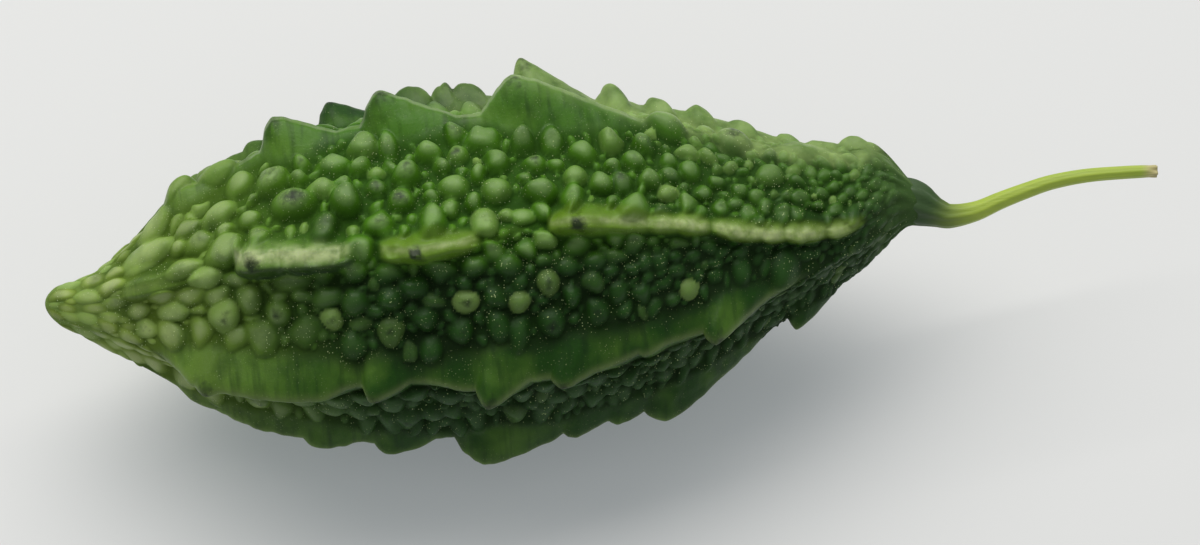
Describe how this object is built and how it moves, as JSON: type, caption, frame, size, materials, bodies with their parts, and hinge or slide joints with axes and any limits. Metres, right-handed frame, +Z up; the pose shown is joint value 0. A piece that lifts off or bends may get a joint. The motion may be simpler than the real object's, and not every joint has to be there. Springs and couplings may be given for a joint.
{
  "type": "bitter gourd",
  "caption": "Small spindle-shaped bitter gourd as picked, with toothed lengthwise ridges, warty skin between them and a short curved stalk, lying on its side.",
  "frame": {"origin": "on the surface that the gourd lies on, under the middle of its bounding box", "axes": "+Z up, +X along the fruit towards the stalk, so the pointed blossom end is at -X, and -Y towards the viewer"},
  "size_m": [0.153, 0.0514, 0.0445],
  "materials": {
    "fruit_skin": "waxy green vegetable skin, satin on the warts and darker between them",
    "stalk_skin": "satin yellow-green stalk with fine lengthwise ribs, dried brown at the cut end"
  },
  "bodies": {
    "root": {"fruit": "fruit_skin", "stalk": "stalk_skin"}
  },
  "joints": []
}
